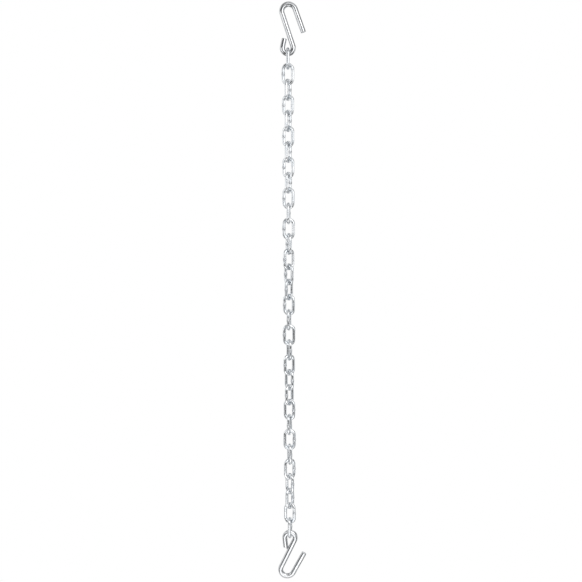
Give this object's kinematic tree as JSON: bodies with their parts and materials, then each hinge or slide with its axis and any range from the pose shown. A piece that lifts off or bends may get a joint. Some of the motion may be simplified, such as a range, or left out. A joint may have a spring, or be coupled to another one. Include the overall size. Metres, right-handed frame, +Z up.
{
  "type": "trailer safety chain with hooks",
  "caption": "Trailer safety chain of welded oval steel links, hung from an open S-hook, with a second S-hook closed onto its lower end.",
  "frame": {"origin": "inside top of the top hook's bend, where it rests on what carries the chain", "axes": "+Z up along the hanging chain; +X towards the tips of both hooks' open arms; +Y square to the hooks' plane, away from the side seen first"},
  "size_m": [0.0624, 0.0273, 1.2008],
  "materials": {
    "hook_zinc": "bright zinc plate on bent round bar, faint draw lines along the bar",
    "link_zinc": "bright zinc plate on welded wire, duller round the weld"
  },
  "bodies": {
    "top_hook": {"top_hook": "hook_zinc"},
    "link_01": {"link_01": "link_zinc"},
    "link_02": {"link_02": "link_zinc"},
    "link_03": {"link_03": "link_zinc"},
    "link_04": {"link_04": "link_zinc"},
    "link_05": {"link_05": "link_zinc"},
    "link_06": {"link_06": "link_zinc"},
    "link_07": {"link_07": "link_zinc"},
    "link_08": {"link_08": "link_zinc"},
    "link_09": {"link_09": "link_zinc"},
    "link_10": {"link_10": "link_zinc"},
    "link_11": {"link_11": "link_zinc"},
    "link_12": {"link_12": "link_zinc"},
    "link_13": {"link_13": "link_zinc"},
    "link_14": {"link_14": "link_zinc"},
    "link_15": {"link_15": "link_zinc"},
    "link_16": {"link_16": "link_zinc"},
    "link_17": {"link_17": "link_zinc"},
    "link_18": {"link_18": "link_zinc"},
    "link_19": {"link_19": "link_zinc"},
    "link_20": {"link_20": "link_zinc"},
    "link_21": {"link_21": "link_zinc"},
    "link_22": {"link_22": "link_zinc"},
    "link_23": {"link_23": "link_zinc"},
    "link_24": {"link_24": "link_zinc"},
    "link_25": {"link_25": "link_zinc"},
    "link_26": {"link_26": "link_zinc"},
    "link_27": {"link_27": "link_zinc"},
    "link_28": {"link_28": "link_zinc"},
    "link_29": {"link_29": "link_zinc"},
    "link_30": {"link_30": "link_zinc"},
    "link_31": {"link_31": "link_zinc"},
    "link_32": {"link_32": "link_zinc"},
    "bottom_hook": {"bottom_hook": "hook_zinc"}
  },
  "joints": [
    {"name": "link_01_swing", "type": "hinge", "parent": "top_hook", "child": "link_01", "pos_m": [-0.00193, 0, -0.09337], "axis": [1, 0, 0], "range_deg": [-90, 90]},
    {"name": "link_02_swing", "type": "hinge", "parent": "link_01", "child": "link_02", "pos_m": [-0.00193, 0, -0.12283], "axis": [0, 1, 0], "range_deg": [-90, 90]},
    {"name": "link_03_swing", "type": "hinge", "parent": "link_02", "child": "link_03", "pos_m": [-0.00193, 0, -0.15432], "axis": [0.9799, -0.1994, 0], "range_deg": [-90, 90]},
    {"name": "link_04_swing", "type": "hinge", "parent": "link_03", "child": "link_04", "pos_m": [-0.00193, 0, -0.18582], "axis": [-0.3907, -0.9205, 0], "range_deg": [-90, 90]},
    {"name": "link_05_swing", "type": "hinge", "parent": "link_04", "child": "link_05", "pos_m": [-0.00193, 0, -0.21732], "axis": [-0.9205, 0.3907, 0], "range_deg": [-90, 90]},
    {"name": "link_06_swing", "type": "hinge", "parent": "link_05", "child": "link_06", "pos_m": [-0.00193, 0, -0.24882], "axis": [0.3907, 0.9205, 0], "range_deg": [-90, 90]},
    {"name": "link_07_swing", "type": "hinge", "parent": "link_06", "child": "link_07", "pos_m": [-0.00193, 0, -0.28032], "axis": [0.9205, -0.3907, 0], "range_deg": [-90, 90]},
    {"name": "link_08_swing", "type": "hinge", "parent": "link_07", "child": "link_08", "pos_m": [-0.00193, 0, -0.31183], "axis": [-0.3907, -0.9205, 0], "range_deg": [-90, 90]},
    {"name": "link_09_swing", "type": "hinge", "parent": "link_08", "child": "link_09", "pos_m": [-0.00193, 0, -0.34332], "axis": [-0.9205, 0.3907, 0], "range_deg": [-90, 90]},
    {"name": "link_10_swing", "type": "hinge", "parent": "link_09", "child": "link_10", "pos_m": [-0.00193, 0, -0.37483], "axis": [0.3907, 0.9205, 0], "range_deg": [-90, 90]},
    {"name": "link_11_swing", "type": "hinge", "parent": "link_10", "child": "link_11", "pos_m": [-0.00193, 0, -0.40632], "axis": [0.9511, -0.309, 0], "range_deg": [-90, 90]},
    {"name": "link_12_swing", "type": "hinge", "parent": "link_11", "child": "link_12", "pos_m": [-0.00193, 0, -0.43783], "axis": [-0.0981, -0.9952, 0], "range_deg": [-90, 90]},
    {"name": "link_13_swing", "type": "hinge", "parent": "link_12", "child": "link_13", "pos_m": [-0.00193, 0, -0.46932], "axis": [-0.9931, -0.1173, 0], "range_deg": [-90, 90]},
    {"name": "link_14_swing", "type": "hinge", "parent": "link_13", "child": "link_14", "pos_m": [-0.00193, 0, -0.50082], "axis": [-0.3273, 0.9449, 0], "range_deg": [-90, 90]},
    {"name": "link_15_swing", "type": "hinge", "parent": "link_14", "child": "link_15", "pos_m": [-0.00193, 0, -0.53233], "axis": [0.8529, 0.5221, 0], "range_deg": [-90, 90]},
    {"name": "link_16_swing", "type": "hinge", "parent": "link_15", "child": "link_16", "pos_m": [-0.00193, 0, -0.56383], "axis": [0.6927, -0.7213, 0], "range_deg": [-90, 90]},
    {"name": "link_17_swing", "type": "hinge", "parent": "link_16", "child": "link_17", "pos_m": [-0.00193, 0, -0.59532], "axis": [-0.5561, -0.8311, 0], "range_deg": [-90, 90]},
    {"name": "link_18_swing", "type": "hinge", "parent": "link_17", "child": "link_18", "pos_m": [-0.00193, 0, -0.62682], "axis": [-0.9309, 0.3652, 0], "range_deg": [-90, 90]},
    {"name": "link_19_swing", "type": "hinge", "parent": "link_18", "child": "link_19", "pos_m": [-0.00193, 0, -0.65833], "axis": [0.1573, 0.9875, 0], "range_deg": [-90, 90]},
    {"name": "link_20_swing", "type": "hinge", "parent": "link_19", "child": "link_20", "pos_m": [-0.00193, 0, -0.68983], "axis": [0.9983, 0.0578, 0], "range_deg": [-90, 90]},
    {"name": "link_21_swing", "type": "hinge", "parent": "link_20", "child": "link_21", "pos_m": [-0.00193, 0, -0.72132], "axis": [0.2703, -0.9628, 0], "range_deg": [-90, 90]},
    {"name": "link_22_swing", "type": "hinge", "parent": "link_21", "child": "link_22", "pos_m": [-0.00193, 0, -0.75282], "axis": [-0.8825, -0.4703, 0], "range_deg": [-90, 90]},
    {"name": "link_23_swing", "type": "hinge", "parent": "link_22", "child": "link_23", "pos_m": [-0.00193, 0, -0.78433], "axis": [-0.6484, 0.7613, 0], "range_deg": [-90, 90]},
    {"name": "link_24_swing", "type": "hinge", "parent": "link_23", "child": "link_24", "pos_m": [-0.00193, 0, -0.81583], "axis": [0.6047, 0.7964, 0], "range_deg": [-90, 90]},
    {"name": "link_25_swing", "type": "hinge", "parent": "link_24", "child": "link_25", "pos_m": [-0.00193, 0, -0.84732], "axis": [0.9075, -0.4201, 0], "range_deg": [-90, 90]},
    {"name": "link_26_swing", "type": "hinge", "parent": "link_25", "child": "link_26", "pos_m": [-0.00193, 0, -0.87882], "axis": [-0.216, -0.9764, 0], "range_deg": [-90, 90]},
    {"name": "link_27_swing", "type": "hinge", "parent": "link_26", "child": "link_27", "pos_m": [-0.00193, 0, -0.91033], "axis": [-1, 0.0018, 0], "range_deg": [-90, 90]},
    {"name": "link_28_swing", "type": "hinge", "parent": "link_27", "child": "link_28", "pos_m": [-0.00193, 0, -0.94183], "axis": [-0.2124, 0.9772, 0], "range_deg": [-90, 90]},
    {"name": "link_29_swing", "type": "hinge", "parent": "link_28", "child": "link_29", "pos_m": [-0.00193, 0, -0.97332], "axis": [0.909, 0.4168, 0], "range_deg": [-90, 90]},
    {"name": "link_30_swing", "type": "hinge", "parent": "link_29", "child": "link_30", "pos_m": [-0.00193, 0, -1.00483], "axis": [0.6018, -0.7986, 0], "range_deg": [-90, 90]},
    {"name": "link_31_swing", "type": "hinge", "parent": "link_30", "child": "link_31", "pos_m": [-0.00193, 0, -1.03632], "axis": [-0.6157, -0.788, 0], "range_deg": [-90, 90]},
    {"name": "link_32_swing", "type": "hinge", "parent": "link_31", "child": "link_32", "pos_m": [-0.00193, 0, -1.06783], "axis": [-0.9205, 0.3907, 0], "range_deg": [-90, 90]},
    {"name": "bottom_hook_swing", "type": "hinge", "parent": "link_32", "child": "bottom_hook", "pos_m": [-0.00193, 0, -1.09933], "axis": [0, 1, 0], "range_deg": [-90, 90]}
  ]
}
